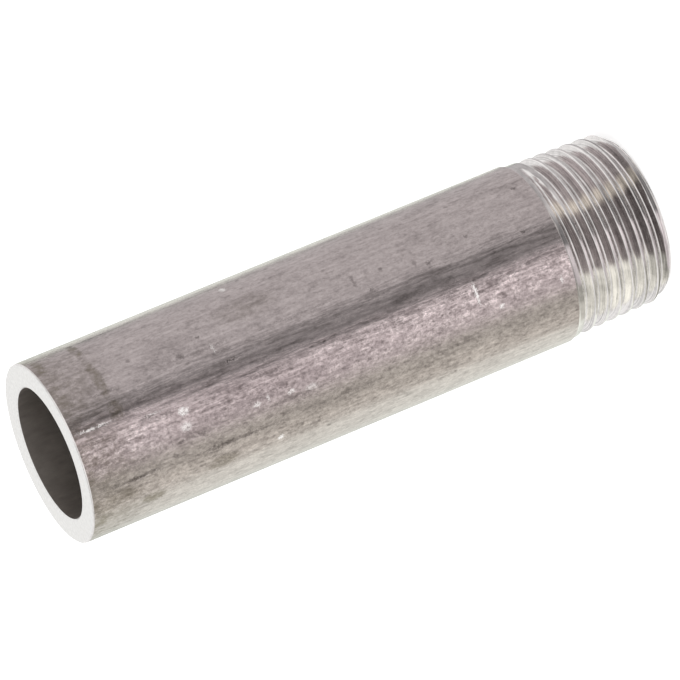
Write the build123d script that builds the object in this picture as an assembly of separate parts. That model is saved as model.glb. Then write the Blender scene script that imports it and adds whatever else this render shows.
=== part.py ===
from build123d import *
import math
import os

# Weld nipple: a short steel tube, plain and square at the weld end, with a
# right-hand taper pipe thread at the other end.
# Frame: millimetres. The threaded end face lies on z = 0, the bore runs along +Z,
# and the weld end face is at z = nipple_length.

# Tube stock and overall length
tube_outside = 17.2
tube_wall = 2.3
nipple_length = 60.0

# Taper pipe thread R 3/8
threads_per_inch = 19
thread_angle = 55.0
diameter_taper = 1 / 16
thread_length = 10.35
shoulder_step = 0.152

# Run-out, where the threading tool leaves the metal in front of the shoulder
runout_turn = 80.0
shoulder_land = 0.24
runout_bearing = -15.0

# Broken edges, and the length of the bevel on the threaded end
end_bevel_length = 1.05
weld_outer_break = 0.12
weld_bore_break = 0.20
thread_bore_break = 0.20

# Drawing of the groove: degrees between the points of its path, how far the tool
# stands clear of the crests, and how many flats make up the rounded root
path_step = 15.0
tool_clear = 0.12
root_flats = 3

# Worked-out sizes of the thread form: a sharp V, cut off by a sixth of its
# height at the crest and rounded by a sixth at the root
inch = 25.4
pitch = inch / threads_per_inch
half_angle = math.radians(thread_angle / 2)
sharp_height = pitch / (2 * math.tan(half_angle))
thread_depth = sharp_height * 2 / 3
crest_flat = pitch / 6
root_radius = sharp_height / 6 / (1 / math.sin(half_angle) - 1)
groove_half_width = (pitch - crest_flat) / 2

tube_radius = tube_outside / 2
bore_radius = tube_radius - tube_wall
radius_taper = diameter_taper / 2
shoulder_crest = tube_radius - shoulder_step
groove_end_height = thread_length - shoulder_land - groove_half_width


def crest_radius(height):
    """Radius of the cone on which the thread crests lie, at a height above the end face."""
    return shoulder_crest - (thread_length - height) * radius_taper


def groove_foot(turned):
    """Point at the foot of the groove, turned degrees back from where it runs out.

    The foot follows a conical helix. Over the last runout_turn degrees it rises
    from full depth, by a quarter sine, until it is clear of the crests.
    """
    way_out = min(turned / runout_turn, 1)
    rise = (thread_depth + tool_clear) * (1 - math.sin(math.pi / 2 * way_out))
    height = groove_end_height - pitch * turned / 360
    radius = crest_radius(height) - thread_depth + rise
    bearing = math.radians(runout_bearing - turned)
    return Vector(radius * math.cos(bearing), radius * math.sin(bearing), height)


def turned_blank():
    """Tube with its bore, square weld end, shoulder, taper and end bevel, as one revolve.

    The bevel goes down to the root of the thread.
    """
    bevel_top = crest_radius(end_bevel_length)
    with BuildPart() as blank:
        with BuildSketch(Plane.XZ):
            with BuildLine():
                Polyline(
                    (bore_radius + thread_bore_break, 0),
                    (bevel_top - thread_depth, 0),
                    (bevel_top, end_bevel_length),
                    (shoulder_crest, thread_length),
                    (tube_radius, thread_length),
                    (tube_radius, nipple_length - weld_outer_break),
                    (tube_radius - weld_outer_break, nipple_length),
                    (bore_radius + weld_bore_break, nipple_length),
                    (bore_radius, nipple_length - weld_bore_break),
                    (bore_radius, thread_bore_break),
                    close=True,
                )
            make_face()
        revolve(axis=Axis.Z)
    return blank.part


def groove_path():
    """Conical helix from below the end face up to the run-out."""
    turns = (groove_end_height + 2 * groove_half_width) / pitch
    steps = math.ceil(turns * 360 / path_step)
    return Spline(*[groove_foot(path_step * step) for step in range(steps, -1, -1)])


def groove_section(path):
    """The 55 degree V across the start of the path, its rounded root drawn as a few flats."""
    start = path @ 0
    outwards = Vector(start.X, start.Y, 0).normalized()
    across = Plane(
        origin=(0, 0, start.Z),
        x_dir=outwards,
        z_dir=Vector(0, 0, 1).cross(outwards),
    )
    foot = math.hypot(start.X, start.Y)
    rounding = math.pi / 2 - half_angle
    turns = [rounding * (1 - 2 * flat / root_flats) for flat in range(root_flats + 1)]
    root = [
        (foot + root_radius * (1 - math.cos(turn)), root_radius * math.sin(turn))
        for turn in turns
    ]
    mouth = foot + thread_depth + tool_clear
    flank_height, flank_side = root[0]
    mouth_side = flank_side + (mouth - flank_height) * math.tan(half_angle)
    with BuildSketch(across) as section:
        with BuildLine():
            Polyline((mouth, mouth_side), *root, (mouth, -mouth_side), close=True)
        make_face()
    return section.sketch


def thread_groove():
    """Everything that the threading tool takes away."""
    path = groove_path()
    return sweep(groove_section(path), path=path, is_frenet=True)


weld_nipple = turned_blank() - thread_groove()
weld_nipple = weld_nipple.solid()

os.makedirs("parts", exist_ok=True)
export_step(weld_nipple, "parts/weld_nipple.step")
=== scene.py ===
"""Weld nipple: the turned and threaded tube, its finishes and the studio round it."""

import math

import bpy
import numpy as np
from mathutils import Matrix, Vector


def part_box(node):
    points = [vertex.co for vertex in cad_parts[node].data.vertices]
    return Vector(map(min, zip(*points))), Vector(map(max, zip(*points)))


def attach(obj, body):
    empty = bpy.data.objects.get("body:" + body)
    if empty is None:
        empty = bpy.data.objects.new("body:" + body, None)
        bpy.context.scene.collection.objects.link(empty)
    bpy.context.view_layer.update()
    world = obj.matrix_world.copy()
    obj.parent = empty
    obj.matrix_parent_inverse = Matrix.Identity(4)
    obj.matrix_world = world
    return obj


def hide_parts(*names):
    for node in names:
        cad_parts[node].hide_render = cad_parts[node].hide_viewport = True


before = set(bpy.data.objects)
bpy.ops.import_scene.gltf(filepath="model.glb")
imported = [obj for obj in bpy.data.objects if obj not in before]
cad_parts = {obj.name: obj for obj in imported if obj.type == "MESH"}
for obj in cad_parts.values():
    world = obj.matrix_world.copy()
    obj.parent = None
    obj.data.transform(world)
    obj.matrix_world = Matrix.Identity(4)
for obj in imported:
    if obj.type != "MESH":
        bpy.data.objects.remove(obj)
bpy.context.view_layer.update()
NODE = "weld_nipple"
LOW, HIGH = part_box(NODE)
MM = 0.001

bl_info = {
    "name": "Weld nipple",
    "version": (1, 0, 0),
    "blender": (4, 5, 0),
    "location": "3D View > Sidebar > Nipple",
    "description": "Taper-threaded weld nipple and the studio it is seen in",
    "category": "Object",
}


def length(name, description, default):
    """A size in metres, given in millimetres."""
    return bpy.props.FloatProperty(
        name=name, description=description, default=default * MM, unit="LENGTH", precision=5
    )


def colour(name, description, default):
    """A linear colour."""
    return bpy.props.FloatVectorProperty(
        name=name, description=description, default=default, subtype="COLOR", size=3, min=0, max=1
    )


def degrees(name, description, default):
    """An angle, given in degrees."""
    return bpy.props.FloatProperty(
        name=name, description=description, default=math.radians(default), subtype="ANGLE"
    )


class NippleSizes(bpy.types.PropertyGroup):
    """Sizes of the tube and its thread."""

    tube_outside: bpy.props.FloatProperty(
        name="Tube outside", description="Outside diameter of the tube", default=HIGH.x - LOW.x,
        unit="LENGTH", precision=5,
    )
    nipple_length: bpy.props.FloatProperty(
        name="Length", description="End face to end face", default=HIGH.z - LOW.z,
        unit="LENGTH", precision=5,
    )
    tube_wall: length("Wall", "Wall of the tube", 2.3)
    pitch: length("Pitch", "Axial distance between neighbouring crests", 25.4 / 19)
    thread_length: length("Thread length", "Threaded end face to shoulder", 10.35)
    shoulder_step: length("Shoulder step", "Drop from the tube's skin to the crests", 0.152)
    thread_angle: degrees("Thread angle", "Angle between the flanks", 55)
    diameter_taper: bpy.props.FloatProperty(
        name="Taper", description="Change of diameter per length", default=1 / 16
    )
    runout_turn: degrees("Run-out", "Turn over which the groove leaves the metal", 80)
    runout_bearing: degrees("Run-out bearing", "Where the groove ends, from +X", -15)
    shoulder_land: length("Shoulder land", "Uncut metal between groove and shoulder", 0.24)
    end_bevel: length("End bevel", "Length of the bevel down to the root of the thread", 1.05)
    edge_break: length("Edge break", "Chamfer on the bore's edges", 0.14)
    outer_break: length("Outer break", "Chamfer on the weld end's outer edge", 0.12)
    crest_wear: length("Crest wear", "Rounding of the crest corners", 0.06)
    unevenness: length("Unevenness", "Waver of the crests and flanks", 0.006)
    tool_clear: length("Tool clearance", "How far the run-out rises over the crests", 0.12)
    shoulder_slope: length("Shoulder slope", "Length of the rolled edge beside the thread", 0.20)


class NippleFinish(bpy.types.PropertyGroup):
    """Colours of the steel."""

    skin: colour("Light skin", "Lightest grain of the pickled tube", (1.0, 0.91, 0.89))
    skin_dark: colour("Dark skin", "Darkest grain of the pickled tube", (0.17, 0.145, 0.14))
    stain: colour("Stain", "Brownish bloom near the weld end", (0.34, 0.30, 0.24))
    pale_mark: colour("Pale marks", "Scuffs and specks", (0.98, 0.95, 0.93))
    machined: colour("Machined steel", "Thread and bevel", (0.83, 0.80, 0.785))
    cut_face: colour("Cut face", "Square-cut weld end", (0.87, 0.86, 0.84))
    bore: colour("Bore", "Scaled inside of the tube", (0.40, 0.36, 0.33))


class NippleStudio(bpy.types.PropertyGroup):
    """Camera and light."""

    elevation: degrees("Elevation", "Height of the camera above the horizon", 18.50)
    roll: degrees("Roll", "Turn of the camera about its own axis", -112.405)
    distance: length("Distance", "Camera to the aim point", 723.1)
    lens: bpy.props.FloatProperty(name="Lens", description="Focal length in mm", default=423.53)
    aim_height: length("Aim height", "Height of the aim point on the axis", 30.52)
    aim_x: bpy.props.FloatProperty(
        name="Aim right", description="Aim point right of the picture's middle, in pixels", default=-1.38
    )
    aim_y: bpy.props.FloatProperty(
        name="Aim down", description="Aim point below the picture's middle, in pixels", default=-5.32
    )


# Shape


COLUMNS = 288


def groove_depth(side, form):
    """Depth of the full groove at a distance from its middle: a round root, then straight flanks."""
    root = form["root_radius"]
    arc = form["depth"] - root + np.sqrt(np.clip(root**2 - side**2, 0, None))
    flank = (form["half_width"] - side) / math.tan(form["half_angle"])
    return np.where(side < root * math.cos(form["half_angle"]), arc, flank)


def thread_form(sizes):
    """The V thread: sharp height, cut off by a sixth at the crest and rounded by a sixth at the root."""
    half_angle = sizes.thread_angle / 2
    sharp = sizes.pitch / (2 * math.tan(half_angle))
    return {
        "half_angle": half_angle,
        "depth": sharp * 2 / 3,
        "root_radius": sharp / 6 / (1 / math.sin(half_angle) - 1),
        "half_width": sizes.pitch * 5 / 12,
    }


def waver(turn, height, amount):
    """Unevenness of a cut, from 0 up: sine waves round the axis and along it."""
    slow = np.sin(3 * turn + 900 * height) + 0.7 * np.sin(8 * turn - 2300 * height)
    quick = 0.5 * np.sin(23 * turn + 4100 * height) + 0.3 * np.sin(61 * turn + 700 * height)
    return amount * (2.5 + slow + quick) / 2.5


def rows_in_pitch(form, pitch):
    """Distances from a groove's middle at which rows lie: close together where the form bends."""
    root = form["root_radius"] * math.cos(form["half_angle"])
    mouth = form["half_width"]
    side = [root * part / 4 for part in range(5)]
    side += [root + (mouth - root) * part for part in (0.3, 0.6, 0.85, 0.95, 0.985, 1.0, 1.03, 1.08, 1.15)]
    side = np.array(side + [pitch / 2])
    return np.concatenate([-side[:0:-1], side[:-1]])


def threaded_rows(sizes):
    """Radius and height of the threaded stretch, on a grid whose rows follow the helix.

    A row starts at its own height and climbs one pitch in a turn. Heights are clipped to
    the end face and the shoulder, so what lies beyond them falls together on those edges.
    Radius is the lower of the crest cone, which slopes up to the tube's skin at the
    shoulder, and of the groove's two flanks and root, less the end bevel.
    """
    form = thread_form(sizes)
    depth = form["depth"]
    pitch, top = sizes.pitch, sizes.thread_length
    end_height = top - sizes.shoulder_land - form["half_width"]
    turn = np.linspace(0, 2 * np.pi, COLUMNS + 1)
    bearing = turn + sizes.runout_bearing
    below = math.ceil(end_height / pitch + 2)
    turns = np.arange(-below, math.ceil((top - end_height) / pitch) + 1)
    offsets = rows_in_pitch(form, pitch)
    start = (end_height + turns[:, None] * pitch + offsets).reshape(-1, 1)
    nearest = np.repeat(turns, len(offsets))[:, None]
    height = np.clip(start + pitch * turn / (2 * np.pi), 0, top)
    from_end = -(nearest * 2 * np.pi + turn)
    middle = end_height - pitch * from_end / (2 * np.pi)
    lift = (depth + sizes.tool_clear) * (1 - np.sin(np.pi / 2 * np.clip(from_end / sizes.runout_turn, 0, 1)))
    crest = sizes.tube_outside / 2 - sizes.shoulder_step - (top - height) * sizes.diameter_taper / 2
    groove = crest - groove_depth(np.abs(height - middle), form) + lift
    rolled = sizes.shoulder_step * (1 - (top - height) / sizes.shoulder_slope)
    land = crest + np.clip(rolled, 0, None) - waver(bearing, height, sizes.unevenness)
    gap = groove - land + waver(1.7 * bearing, height, sizes.unevenness)
    radius = land + (gap - np.sqrt(gap**2 + sizes.crest_wear**2)) / 2
    bevel_top = crest + (height - sizes.end_bevel) * (depth / sizes.end_bevel - sizes.diameter_taper / 2)
    return np.minimum(radius, bevel_top), height, np.broadcast_to(bearing, height.shape)


def ring_rows(points):
    """Rows of a plain turned surface through (radius, height) points, once round each."""
    points = np.array(points)
    turn = np.linspace(0, 2 * np.pi, COLUMNS + 1)
    ones = np.ones(COLUMNS + 1)
    return points[:, :1] * ones, points[:, 1:] * ones, turn * np.ones((len(points), 1))


def spread(start, end, count):
    """Points from start to end, both included."""
    return np.linspace(start, end, count).tolist()


def nipple_surface(sizes):
    """Whole surface as one closed grid: bore, threaded end, thread, tube, weld end, bore again."""
    outside = sizes.tube_outside / 2
    bore = outside - sizes.tube_wall
    top, brk, out = sizes.nipple_length, sizes.edge_break, sizes.outer_break
    thread = threaded_rows(sizes)
    foot = thread[0][0, 0]
    rise = sizes.thread_length
    start = [(bore, top / 2), *spread((bore, top / 4), (bore, brk), 4), (bore + brk, 0)]
    start += spread((bore + brk, 0), (foot, 0), 4)[1:]
    tube = [(outside, rise), *spread((outside, rise + 0.05 * MM), (outside, top - out), 24)]
    corner = [(outside, top - out), (outside - out, top)]
    weld_end = spread((outside - out, top), (bore + brk, top), 6) + [(bore, top - brk)]
    inside = [(bore, top - brk)]
    inside += spread((bore, top - brk), (bore, top / 2), 10)[1:]
    return [
        (ring_rows(start), "bore"),
        (thread, "machined"),
        (ring_rows(tube), "skin"),
        (ring_rows(corner), "machined"),
        (ring_rows(weld_end), "cut_face"),
        (ring_rows(inside), "bore"),
    ]


def closed_mesh(name, parts, finishes):
    """Joins the rows of all parts, merges what falls together and drops faces without area."""
    radius, height, bearing = (
        np.concatenate([rows[part] for rows, _ in parts]) for part in range(3)
    )
    points = np.stack([radius * np.cos(bearing), radius * np.sin(bearing), height], -1)
    rows, columns = radius.shape
    index = np.arange(rows * columns).reshape(rows, columns)
    a, b = index[:-1, :-1], index[:-1, 1:]
    c, d = index[1:, 1:], index[1:, :-1]
    faces = np.stack([np.stack([a, b, c], -1), np.stack([a, c, d], -1)], 2).reshape(-1, 3)
    finish_of_row = np.concatenate(
        [np.full(len(rows[0]), finishes.index(finish)) for rows, finish in parts]
    )
    finish_of_face = np.repeat(finish_of_row[1:], 2 * (columns - 1))
    flat = points.reshape(-1, 3)
    keys = np.round(flat / (0.0005 * MM)).astype(np.int64)
    _, kept, merged = np.unique(keys, axis=0, return_index=True, return_inverse=True)
    faces = merged.reshape(-1)[faces]
    whole = (faces[:, 0] != faces[:, 1]) & (faces[:, 1] != faces[:, 2]) & (faces[:, 2] != faces[:, 0])
    faces, finish_of_face = faces[whole], finish_of_face[whole]
    mesh = bpy.data.meshes.new(name)
    mesh.from_pydata(flat[kept].tolist(), [], faces.tolist())
    mesh.polygons.foreach_set("material_index", finish_of_face.astype(np.int32))
    mesh.polygons.foreach_set("use_smooth", np.ones(len(faces), bool))
    mesh.set_sharp_from_angle(angle=math.radians(22))
    mesh.update()
    return mesh


# Materials


class Nodes:
    """Short way to add and join shader nodes."""

    def __init__(self, name):
        self.material = bpy.data.materials.new(name)
        self.material.use_nodes = True
        self.tree = self.material.node_tree
        self.tree.nodes.clear()

    def add(self, kind, inputs=None, **settings):
        """A node with its settings, and inputs given as values or as sockets to join."""
        node = self.tree.nodes.new(kind)
        for key, value in settings.items():
            setattr(node, key, value)
        for key, value in (inputs or {}).items():
            self.put(node.inputs[key], value)
        return node

    def put(self, socket, value):
        """Joins a socket, or sets its value."""
        if isinstance(value, bpy.types.NodeSocket):
            self.tree.links.new(value, socket)
        else:
            socket.default_value = value

    def maths(self, operation, *values, clamp=False):
        """A maths node's result."""
        node = self.add("ShaderNodeMath", operation=operation, use_clamp=clamp)
        for socket, value in zip(node.inputs, values):
            self.put(socket, value)
        return node.outputs[0]

    def place(self, scale, offset=(0, 0, 0)):
        """Object coordinates in millimetres, times a scale for each axis."""
        where = self.add("ShaderNodeTexCoord").outputs["Object"]
        scale = [value / MM for value in scale]
        return self.add(
            "ShaderNodeMapping", {"Vector": where, "Scale": scale, "Location": offset}
        ).outputs[0]

    def noise(self, vector, scale=1.0, detail=3.0, rough=0.55):
        """Noise from 0 to 1."""
        inputs = {"Vector": vector, "Scale": scale, "Detail": detail, "Roughness": rough}
        return self.add("ShaderNodeTexNoise", inputs).outputs["Fac"]

    def between(self, value, low, high, to_low=0.0, to_high=1.0):
        """Moves a range onto another, clamped."""
        inputs = {"Value": value, "From Min": low, "From Max": high, "To Min": to_low, "To Max": to_high}
        return self.add("ShaderNodeMapRange", inputs).outputs["Result"]

    def mix(self, factor, first, second):
        """Mixes two colours."""
        node = self.add("ShaderNodeMix", data_type="RGBA")
        self.put(node.inputs[0], factor)
        self.put(node.inputs[6], first)
        self.put(node.inputs[7], second)
        return node.outputs[2]

    def steel(self, base, roughness, height=None, bump_distance=0.01, metal=1.0):
        """Metal surface, bumped by a height from 0 to 1."""
        shader = self.add(
            "ShaderNodeBsdfPrincipled", {"Base Color": base, "Metallic": metal, "Roughness": roughness}
        )
        if height is not None:
            bump = self.add(
                "ShaderNodeBump",
                {"Height": height, "Distance": bump_distance * MM},
            )
            self.put(shader.inputs["Normal"], bump.outputs[0])
        output = self.add("ShaderNodeOutputMaterial")
        self.put(output.inputs["Surface"], shader.outputs[0])
        return self.material


def rgba(value):
    """A colour property as red, green, blue and alpha."""
    return (*value, 1.0)


# Marks on the tube: distance from the weld end in mm, bearing from the run-out's
# opposite side in degrees, half length and half width in mm, strength
PALE_MARKS = (
    (10.5, 6.9, 0.50, 0.38, 0.9),
    (10.3, 16.3, 0.55, 0.42, 0.6),
    (17.2, 20.6, 0.35, 0.22, 0.7),
    (18.4, 19.0, 0.10, 0.35, 0.5),
    (20.7, 21.0, 0.38, 0.20, 0.7),
    (22.6, 23.0, 0.60, 0.28, 0.4),
    (18.9, 49.0, 0.26, 0.26, 0.9),
    (19.6, -63.0, 0.28, 0.40, 0.7),
    (15.4, -21.0, 0.10, 0.50, 0.5),
    (40.2, 9.0, 0.13, 1.15, 1.0),
    (48.4, 21.0, 0.12, 0.40, 0.7),
    (42.2, 22.0, 0.26, 0.20, 0.8),
    (2.2, -4.0, 1.70, 0.09, 0.8),
    (8.0, 1.5, 0.90, 0.05, 0.7),
)
DARK_MARKS = (
    (16.4, -10.6, 0.70, 0.14, 0.8),
    (12.3, -24.5, 0.40, 0.25, 0.5),
    (14.7, -32.0, 0.25, 0.10, 0.7),
    (30.1, -27.0, 0.16, 0.80, 0.5),
    (31.2, -17.5, 0.25, 0.16, 0.7),
    (37.2, -19.4, 0.25, 0.16, 0.7),
    (41.6, -26.5, 0.20, 0.16, 0.7),
    (46.6, -15.0, 0.22, 0.16, 0.8),
    (48.2, -46.0, 0.22, 0.20, 0.7),
    (36.0, -23.0, 0.20, 0.40, 0.35),
    (7.2, 2.0, 0.80, 0.08, 0.7),
    (15.7, -17.5, 0.80, 0.07, 0.6),
    (4.4, -21.5, 1.30, 0.07, 0.6),
    (8.6, 31.0, 0.30, 0.22, 0.5),
    (4.6, 35.0, 2.60, 0.20, 0.55),
    (14.5, 36.5, 5.00, 0.22, 0.50),
    (25.5, 36.0, 4.50, 0.16, 0.40),
    (37.0, 35.0, 4.00, 0.14, 0.25),
    # these three long lines along bearing -70.5 are a painted reflection: the thin dark line at the edge of the
    # light band
    (7.0, -70.5, 5.00, 0.16, 0.45),
    (18.0, -70.5, 5.00, 0.14, 0.30),
    (30.0, -70.5, 5.00, 0.12, 0.25),
    (14.0, -23.0, 3.50, 0.12, 0.35),
    (24.0, -21.0, 4.00, 0.10, 0.30),
    (22.0, 25.0, 5.00, 0.14, 0.30),
    (10.0, 24.0, 3.00, 0.12, 0.40),
)
STAINS = (
    (4.6, -62.0, 0.45, 1.60, 1.0),
    (4.6, -34.0, 0.50, 2.60, 0.85),
    (4.7, -9.5, 0.75, 0.95, 1.0),
    (2.8, -40.0, 1.60, 2.40, 0.35),
    (0.8, -60.0, 0.60, 1.80, 1.0),
    (0.8, -30.0, 0.60, 2.20, 0.70),
    (0.7, 58.0, 0.80, 1.00, 1.0),
    (6.0, 55.0, 1.30, 0.60, 0.8),
    (13.0, 49.0, 1.60, 0.70, 0.6),
    (3.0, 44.0, 2.00, 0.90, 0.5),
    (20.0, -40.0, 3.00, 1.40, 0.25),
)


# Where the painted highlight band fades in and out, as arcs from the front in mm: the skin's grain gets more
# contrast there, painting the grainy sparkle of the highlight
SPARKLE_BAND = (0.0, 0.8, 2.9, 4.3)


def unrolled(n, tube_radius):
    """Arc from the front in mm, distance from the weld end in mm, and 0."""
    split = n.add("ShaderNodeSeparateXYZ", {"Vector": n.place((1, 1, 1))})
    x, y, z = split.outputs
    turn = n.maths("ARCTAN2", n.maths("MULTIPLY", x, -1), n.maths("MULTIPLY", y, -1))
    arc = n.maths("MULTIPLY", turn, tube_radius / MM)
    station = n.maths("SUBTRACT", 60, z)
    return n.add("ShaderNodeCombineXYZ", {"X": arc, "Y": station}).outputs[0], arc, station


def marks(n, flat, listed, tube_radius):
    """Soft ellipses on the unrolled tube, each fading from its strength to nothing at its rim."""
    total = None
    for station, bearing, long, wide, strength in listed:
        centre = (math.radians(bearing) * tube_radius / MM, station)
        shift = n.add(
            "ShaderNodeVectorMath",
            {0: flat, 1: (1 / wide, 1 / long, 0), 2: (-centre[0] / wide, -centre[1] / long, 0)},
            operation="MULTIPLY_ADD",
        )
        far = n.add("ShaderNodeVectorMath", {0: shift.outputs[0]}, operation="LENGTH")
        spot = n.between(far.outputs["Value"], 0.6, 1.25, strength, 0.0)
        total = spot if total is None else n.maths("MAXIMUM", total, spot)
    return total


def skin_steel(finish, tube_radius):
    """Pickled tube: grain, blotches and streaks, a lengthwise band of painted highlight sparkle, stains, pits and
    marks.

    All of them add up to one tone from 0 to 1, which runs from the dark colour to the light.
    """
    n = Nodes("pickled_skin")
    flat, arc, station = unrolled(n, tube_radius)
    mottle = n.noise(n.place((0.45, 0.45, 0.20)), 1.0, 4.0, 0.6)
    blotch = n.noise(n.place((1.6, 1.6, 1.0)), 1.0, 4.0, 0.75)
    streaks = n.noise(n.place((3.2, 3.2, 0.30)), 1.0, 4.0, 0.65)
    grain = n.noise(n.place((3.8, 3.8, 2.6)), 1.0, 4.0, 0.8)
    patch = n.noise(n.place((1.9, 1.9, 0.9)), 1.0, 2.0, 0.6)
    wander = n.add("ShaderNodeTexNoise", {"Vector": n.place((1.6, 1.6, 1.6)), "Detail": 4.0})
    drift = n.add(
        "ShaderNodeVectorMath", {0: wander.outputs["Color"], 1: (0.5, 0.5, 0.5)}, operation="SUBTRACT"
    )
    bent = n.add(
        "ShaderNodeVectorMath",
        {0: drift.outputs[0], 1: (0.8, 0.8, 0), 2: flat},
        operation="MULTIPLY_ADD",
    ).outputs[0]
    bent_arc = n.add("ShaderNodeSeparateXYZ", {"Vector": bent}).outputs[0]
    # a lengthwise band just round from the camera's side, where the highlight falls: its grain gets more contrast,
    # a painted sparkle of that highlight
    highlight_sparkle = n.maths(
        "MULTIPLY", n.between(bent_arc, *SPARKLE_BAND[:2]), n.between(bent_arc, *SPARKLE_BAND[2:], 1.0, 0.0)
    )
    coarse = n.maths("MULTIPLY", n.between(bent_arc, 3.4, 4.4), n.between(bent_arc, 7.6, 8.4, 1.0, 0.0))
    # the painted sparkle is strongest near both ends of the tube, and in patches; between them the band is painted
    # darker
    along = n.maths("MAXIMUM", n.between(station, 22, 32, 0.45, 1.0), n.between(station, 5, 12, 0.85, 0.45))
    faded = n.maths("MULTIPLY", highlight_sparkle, n.maths("SUBTRACT", 1.0, along))
    highlight_sparkle = n.maths("MULTIPLY", highlight_sparkle, along)
    highlight_sparkle = n.maths("MULTIPLY", highlight_sparkle, n.between(patch, 0.38, 0.60, 0.35, 1.0))
    contrast = n.maths("ADD", n.maths("MULTIPLY", highlight_sparkle, 0.85), n.maths("MULTIPLY", coarse, 0.25))
    contrast = n.maths("ADD", contrast, 0.30)
    mixed = n.maths("ADD", n.maths("MULTIPLY", grain, 0.7), n.maths("MULTIPLY", patch, 0.3))
    fine = n.between(mixed, 0.34, 0.66, -0.55, 0.55)
    tone = n.maths("MULTIPLY_ADD", fine, contrast, n.maths("MULTIPLY_ADD", faded, -0.24, 0.53))
    # dark streaks run through the middle of the painted highlight band and the edge above it
    streaky = n.maths("MULTIPLY", n.between(bent_arc, -3.3, -2.0), n.between(bent_arc, 1.2, 2.6, 1.0, 0.0))
    lines = n.between(streaks, 0.38, 0.62, -0.5, 0.5)
    tone = n.maths("MULTIPLY_ADD", lines, n.maths("MULTIPLY_ADD", streaky, 0.28, 0.12), tone)
    tone = n.maths("SUBTRACT", tone, n.between(mottle, 0.50, 0.68, 0.0, 0.10))
    tone = n.maths("SUBTRACT", tone, n.between(blotch, 0.52, 0.66, 0.0, 0.14))
    # stains that creep in from the weld end, and those that lie across the tube
    creep = n.noise(n.place((0.7, 0.7, 0.5)), 1.0, 4.0, 0.7)
    reach = n.between(n.maths("ADD", station, n.maths("MULTIPLY", creep, -9)), -5.0, 1.5, 0.6, 0.0)
    stained = n.maths("MAXIMUM", reach, marks(n, bent, STAINS, tube_radius))
    stained = n.maths("MULTIPLY", stained, n.between(blotch, 0.40, 0.54, 0.30, 1.0))
    tone = n.maths("SUBTRACT", tone, n.maths("MULTIPLY", stained, 0.40))
    # pits: the middles of small cells, in some of the cells only
    cells = n.add("ShaderNodeTexVoronoi", {"Vector": n.place((1.0, 1.0, 0.8)), "Scale": 1.0})
    chosen = n.between(n.add("ShaderNodeSeparateColor", {0: cells.outputs["Color"]}).outputs[0], 0.84, 0.88)
    pits = n.maths("MULTIPLY", n.between(cells.outputs["Distance"], 0.06, 0.24, 0.45, 0.0), chosen)
    dark = marks(n, bent, DARK_MARKS, tube_radius)
    dark = n.maths("MULTIPLY", dark, n.between(streaks, 0.40, 0.52, 0.5, 1.0))
    dark = n.maths("MAXIMUM", dark, pits)
    tone = n.maths("SUBTRACT", tone, n.maths("MULTIPLY", dark, 0.62), clamp=True)
    base = n.mix(tone, rgba(finish.skin_dark), rgba(finish.skin))
    base = n.mix(n.maths("MULTIPLY", stained, 0.65), base, rgba(finish.stain))
    pale = marks(n, bent, PALE_MARKS, tube_radius)
    pale = n.maths("MULTIPLY", pale, n.between(grain, 0.40, 0.50, 0.3, 1.0))
    base = n.mix(pale, base, rgba(finish.pale_mark))
    rough = n.maths("ADD", n.between(grain, 0.35, 0.65, 0.18, 0.10), n.maths("MULTIPLY", pale, 0.3))
    metal = n.maths("SUBTRACT", 1.0, n.maths("MULTIPLY", pale, 0.9))
    return n.steel(base, rough, tone, 0.018, metal)


def machined_steel(finish):
    """Turned steel: tool marks follow one radius on the flanks, with chatter across them."""
    n = Nodes("machined_steel")
    split = n.add("ShaderNodeSeparateXYZ", {"Vector": n.place((1, 1, 1))})
    x, y, z = split.outputs
    radius = n.maths("SQRT", n.maths("MULTIPLY_ADD", x, x, n.maths("MULTIPLY", y, y)))
    turned = n.add(
        "ShaderNodeCombineXYZ",
        {"X": n.maths("MULTIPLY", radius, 9), "Y": n.maths("MULTIPLY", z, 0.5), "Z": n.maths("MULTIPLY", x, 0.25)},
    )
    rings = n.noise(turned.outputs[0], 1.0, 2.0, 0.6)
    chatter = n.noise(n.place((1.5, 1.5, 3)), 1.0, 3.0, 0.6)
    tone = n.maths("ADD", n.maths("MULTIPLY", rings, 0.75), n.maths("MULTIPLY", chatter, 0.25))
    dull = rgba([c * 0.62 for c in finish.machined])
    base = n.mix(n.between(tone, 0.38, 0.58), dull, rgba(finish.machined))
    return n.steel(base, n.between(chatter, 0.3, 0.7, 0.12, 0.22), tone, 0.010)


def cut_steel(finish):
    """Faced end: near white, with a faint grain."""
    n = Nodes("cut_face")
    grain = n.noise(n.place((3, 3, 3)), 1.0, 4.0, 0.7)
    base = n.mix(n.between(grain, 0.35, 0.65), rgba([c * 0.86 for c in finish.cut_face]), rgba(finish.cut_face))
    return n.steel(base, 0.34, grain, 0.004)


def bore_steel(finish):
    """Inside of the tube, dull and scaled."""
    n = Nodes("bore_steel")
    grain = n.noise(n.place((1.6, 1.6, 0.6)), 1.0, 4.0, 0.7)
    base = n.mix(n.between(grain, 0.3, 0.7), rgba([c * 0.75 for c in finish.bore]), rgba(finish.bore))
    return n.steel(base, 0.5, grain, 0.006)


class NIPPLE_OT_body(bpy.types.Operator):
    """Build the nipple in the place of its CAD solid"""

    bl_idname = "nipple.body"
    bl_label = "Nipple"

    def execute(self, context):
        sizes = context.scene.nipple_sizes
        finish = context.scene.nipple_finish
        finishes = ["bore", "machined", "skin", "cut_face"]
        mesh = closed_mesh("nipple_body", nipple_surface(sizes), finishes)
        for material in (bore_steel(finish), machined_steel(finish), skin_steel(finish, sizes.tube_outside / 2), cut_steel(finish)):
            mesh.materials.append(material)
        piece = bpy.data.objects.new("nipple_body", mesh)
        context.scene.collection.objects.link(piece)
        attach(piece, "root")
        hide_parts(NODE)
        return {"FINISHED"}


# Studio


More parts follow.
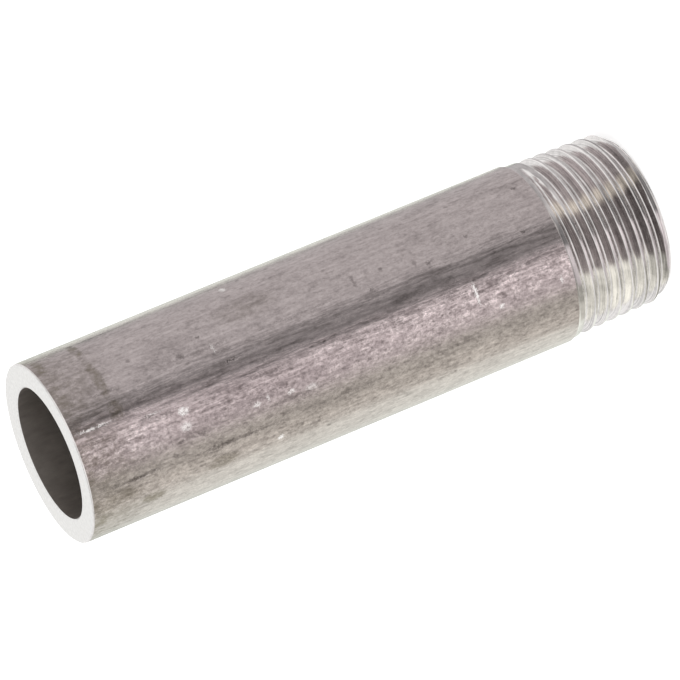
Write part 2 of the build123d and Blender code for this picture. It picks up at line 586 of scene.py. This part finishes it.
def card_ring(name, inner, outer, height, sectors):
    """Flat ring on a height: radius runs from inner to outer, bearing once round."""
    turn = np.linspace(0, 2 * np.pi, sectors, endpoint=False)
    ring = np.stack([np.cos(turn), np.sin(turn)], -1)
    flat = np.concatenate([inner * ring, outer * ring])
    points = np.column_stack([flat, np.full(len(flat), height)])
    here = np.arange(sectors)
    after = (here + 1) % sectors
    faces = np.stack([here, here + sectors, after + sectors, after], -1)
    mesh = bpy.data.meshes.new(name)
    mesh.from_pydata(points.tolist(), [], faces.tolist())
    thing = bpy.data.objects.new(name, mesh)
    bpy.context.scene.collection.objects.link(thing)
    return thing


# Tone of the card round the nipple, as the tube shows it: bearing in the reflection, from
# the camera's side and towards -X, in degrees, brightness and tint
CARD_TONES = (
    (-180, 0.45, "pale"),
    (-166, 0.88, "pale"),
    (-152, 1.00, "pale"),
    (-145, 0.90, "pale"),
    (-141, 0.36, "cool"),
    (-136, 0.66, "cool"),
    (-110, 0.64, "cool"),
    (-44, 0.64, "cool"),
    (-32, 0.60, "cool"),
    (-22, 0.29, "cool"),
    (3, 0.27, "cool"),
    (7, 0.85, "rose"),
    (14, 1.06, "rose"),
    (32, 0.80, "rose"),
    (48, 0.88, "rose"),
    (55, 0.60, "warm"),
    (66, 0.58, "warm"),
    (72, 0.42, "warm"),
    (77, 0.80, "warm"),
    (102, 0.74, "warm"),
    (106, 1.08, "pale"),
    (128, 1.00, "pale"),
    (150, 0.96, "pale"),
    (166, 0.80, "pale"),
    (180, 0.45, "pale"),
)
# The same for light that has been between the flanks of the thread on its way
FLANK_TONES = (
    (-180, 1.10, "plain"),
    (-160, 1.00, "plain"),
    (-144, 0.72, "rose"),
    (-44, 0.62, "rose"),
    (-39, 1.25, "beige"),
    (-29, 1.20, "beige"),
    (-24, 0.30, "brown"),
    (10, 0.30, "brown"),
    (44, 0.44, "brown"),
    (50, 1.60, "cream"),
    (72, 1.25, "cream"),
    (92, 1.60, "cream"),
    (140, 1.50, "cream"),
    (180, 1.10, "plain"),
)
TINTS = {
    "plain": (1.0, 1.0, 1.0),
    "pale": (0.965, 1.0, 0.93),
    "cool": (1.0, 0.97, 0.98),
    "rose": (1.0, 0.925, 0.95),
    "warm": (1.0, 0.985, 0.90),
    "brown": (1.0, 0.906, 0.92),
    "beige": (1.0, 0.95, 0.85),
    "cream": (0.975, 1.0, 0.93),
}
# Beside the nipple the card is in its shade, and far out its bearings turn a little
FOOT_REACH = (0.0084, 0.0094)
SHADE_REACH = (0.0095, 0.0140)
SHADE_TONE = 0.42
TURN_REACH = (0.158, 0.185)
TURN_AMOUNT = 15


def bearing_ramp(n, share, tones):
    """Colour by the share of a turn, from a list of bearings, tones and tints."""
    ramp = n.add("ShaderNodeValToRGB", {"Fac": share})
    stops = ramp.color_ramp.elements
    while len(stops) < len(tones):
        stops.new(0.5)
    for stop, (angle, tone, tint) in zip(stops, tones):
        stop.position = (angle + 180) / 360
        stop.color = (*(tone * part for part in TINTS[tint]), 1)
    return ramp.outputs[0]


def graded_card():
    """A card whose brightness changes with the bearing round the nipple."""
    n = Nodes("graded_card")
    where = n.place((1, 1, 0))
    split = n.add("ShaderNodeSeparateXYZ", {"Vector": where})
    x, y = split.outputs[0], split.outputs[1]
    # the camera stands on the -Y side, and a bearing towards -X counts as positive
    bearing = n.maths("ARCTAN2", n.maths("MULTIPLY", x, -1), n.maths("MULTIPLY", y, -1))
    reach = n.add("ShaderNodeVectorMath", {0: where}, operation="LENGTH").outputs["Value"]
    # the turn fades in past the dark zone and out again before the warm one
    turned = n.between(reach, *(far / MM for far in TURN_REACH), 0, math.radians(TURN_AMOUNT))
    turned = n.maths("MULTIPLY", turned, n.between(bearing, -0.60, -0.20))
    turned = n.maths("MULTIPLY", turned, n.between(bearing, 0.40, 1.20, 1.0, 0.0))
    share = n.between(n.maths("ADD", bearing, turned), -math.pi, math.pi)
    depth = n.add("ShaderNodeLightPath").outputs["Glossy Depth"]
    again = n.maths("GREATER_THAN", depth, 1.5)
    colour_of_card = n.mix(again, bearing_ramp(n, share, CARD_TONES), bearing_ramp(n, share, FLANK_TONES))
    shade = n.between(reach, *(far / MM for far in SHADE_REACH), SHADE_TONE, 1.0)
    shade = n.maths("MAXIMUM", shade, n.between(reach, *(far / MM for far in FOOT_REACH), 0.85, 0.0))
    glow = n.add("ShaderNodeEmission", {"Color": colour_of_card, "Strength": shade})
    output = n.add("ShaderNodeOutputMaterial")
    n.put(output.inputs["Surface"], glow.outputs[0])
    return n.material


def reflection_only(thing):
    """A card that shows in the steel and nowhere else."""
    thing.visible_camera = False
    thing.visible_diffuse = False
    thing.visible_shadow = False


def seen_directly(n):
    """1 for rays from the camera, off the steel or through glass, else 0."""
    path = n.add("ShaderNodeLightPath")
    rays = [path.outputs[name] for name in ("Is Camera Ray", "Is Glossy Ray", "Is Transmission Ray")]
    return n.maths("MAXIMUM", n.maths("MAXIMUM", rays[0], rays[1]), rays[2])


def floor_white():
    """White floor that keeps a pale shadow."""
    n = Nodes("studio_floor")
    paper = n.add("ShaderNodeBsdfDiffuse", {"Color": (0.80, 0.80, 0.80, 1)})
    glow = n.add("ShaderNodeEmission", {"Color": (1, 1, 1, 1)})
    n.put(glow.inputs["Strength"], n.maths("MULTIPLY", seen_directly(n), 0.55))
    both = n.add("ShaderNodeAddShader")
    n.put(both.inputs[0], paper.outputs[0])
    n.put(both.inputs[1], glow.outputs[0])
    output = n.add("ShaderNodeOutputMaterial")
    n.put(output.inputs["Surface"], both.outputs[0])
    return n.material


def white_world(scene):
    """World that lights evenly and is white wherever it is seen."""
    world = bpy.data.worlds.new("studio_world")
    scene.world = world
    world.use_nodes = True
    tree = world.node_tree
    tree.nodes.clear()
    path = tree.nodes.new("ShaderNodeLightPath")
    seen = tree.nodes.new("ShaderNodeMath")
    seen.operation = "MAXIMUM"
    tree.links.new(path.outputs["Is Camera Ray"], seen.inputs[0])
    tree.links.new(path.outputs["Is Glossy Ray"], seen.inputs[1])
    also = tree.nodes.new("ShaderNodeMath")
    also.operation = "MAXIMUM"
    tree.links.new(seen.outputs[0], also.inputs[0])
    tree.links.new(path.outputs["Is Transmission Ray"], also.inputs[1])
    strength = tree.nodes.new("ShaderNodeMapRange")
    strength.inputs["To Min"].default_value = 0.80
    strength.inputs["To Max"].default_value = 1.0
    tree.links.new(also.outputs[0], strength.inputs["Value"])
    sky = tree.nodes.new("ShaderNodeBackground")
    sky.inputs["Color"].default_value = (1, 1, 1, 1)
    tree.links.new(strength.outputs["Result"], sky.inputs["Strength"])
    output = tree.nodes.new("ShaderNodeOutputWorld")
    tree.links.new(sky.outputs[0], output.inputs["Surface"])


def lamp(name, place, target, size, power):
    """A square soft lamp that points at a target."""
    light = bpy.data.lights.new(name, "AREA")
    light.size = size
    light.energy = power
    thing = bpy.data.objects.new(name, light)
    thing.location = place
    thing.rotation_euler = (Vector(target) - Vector(place)).to_track_quat("-Z", "Y").to_euler()
    thing.visible_glossy = False
    bpy.context.scene.collection.objects.link(thing)
    return thing


def picture_camera(scene, studio):
    """Camera at the aim point's distance, turned so that the aim point lies where it should."""
    rise, away = math.sin(studio.elevation), math.cos(studio.elevation)
    back = Vector((0, -away, rise))
    level_right, level_up = Vector((1, 0, 0)), Vector((0, rise, away))
    right = math.cos(studio.roll) * level_right + math.sin(studio.roll) * level_up
    up = back.cross(right)
    half_picture = 340
    per_pixel = 36 / studio.lens / (2 * half_picture)
    aside = studio.aim_x * per_pixel * studio.distance
    below = studio.aim_y * per_pixel * studio.distance
    aim = Vector((0, 0, studio.aim_height))
    place = aim + back * studio.distance - right * aside + up * below
    camera = bpy.data.cameras.new("picture_camera")
    camera.lens = studio.lens
    camera.sensor_width = 36
    camera.clip_start = 0.05
    camera.clip_end = 20
    thing = bpy.data.objects.new("picture_camera", camera)
    turned = Matrix((right, up, back)).transposed().to_4x4()
    thing.matrix_world = Matrix.Translation(place) @ turned
    scene.collection.objects.link(thing)
    scene.camera = thing


class NIPPLE_OT_stage(bpy.types.Operator):
    """Build the floor, the cards, the lamps, the world and the camera"""

    bl_idname = "nipple.stage"
    bl_label = "Studio"

    def execute(self, context):
        scene = context.scene
        scene.view_settings.view_transform = "Standard"
        floor = card_ring("studio_floor", 0.0001, 4.0, -0.00001, 64)
        floor.data.materials.append(floor_white())
        card = card_ring("graded_card", 0.0075, 0.6, 0.0002, 180)
        card.data.materials.append(graded_card())
        reflection_only(card)
        white_world(scene)
        lamp("key_lamp", (-0.5, -0.5, 1.1), (0, 0, 0.03), 0.6, 6.0)
        picture_camera(scene, scene.nipple_studio)
        return {"FINISHED"}


class NIPPLE_PT_panel(bpy.types.Panel):
    """Sizes, finishes and studio of the nipple."""

    bl_label = "Weld nipple"
    bl_idname = "NIPPLE_PT_panel"
    bl_space_type = "VIEW_3D"
    bl_region_type = "UI"
    bl_category = "Nipple"

    def draw(self, context):
        layout = self.layout
        for group in (
            context.scene.nipple_sizes,
            context.scene.nipple_finish,
            context.scene.nipple_studio,
        ):
            box = layout.box()
            for name in group.__annotations__:
                box.prop(group, name)
        layout.operator(NIPPLE_OT_body.bl_idname)
        layout.operator(NIPPLE_OT_stage.bl_idname)


CLASSES = (
    NippleSizes,
    NippleFinish,
    NippleStudio,
    NIPPLE_OT_body,
    NIPPLE_OT_stage,
    NIPPLE_PT_panel,
)


def register():
    for each in CLASSES:
        bpy.utils.register_class(each)
    bpy.types.Scene.nipple_sizes = bpy.props.PointerProperty(type=NippleSizes)
    bpy.types.Scene.nipple_finish = bpy.props.PointerProperty(type=NippleFinish)
    bpy.types.Scene.nipple_studio = bpy.props.PointerProperty(type=NippleStudio)


def unregister():
    del bpy.types.Scene.nipple_studio
    del bpy.types.Scene.nipple_finish
    del bpy.types.Scene.nipple_sizes
    for each in reversed(CLASSES):
        bpy.utils.unregister_class(each)


def main():
    """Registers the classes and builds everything."""
    register()
    bpy.ops.nipple.body()
    bpy.ops.nipple.stage()


if __name__ == "__main__":
    main()
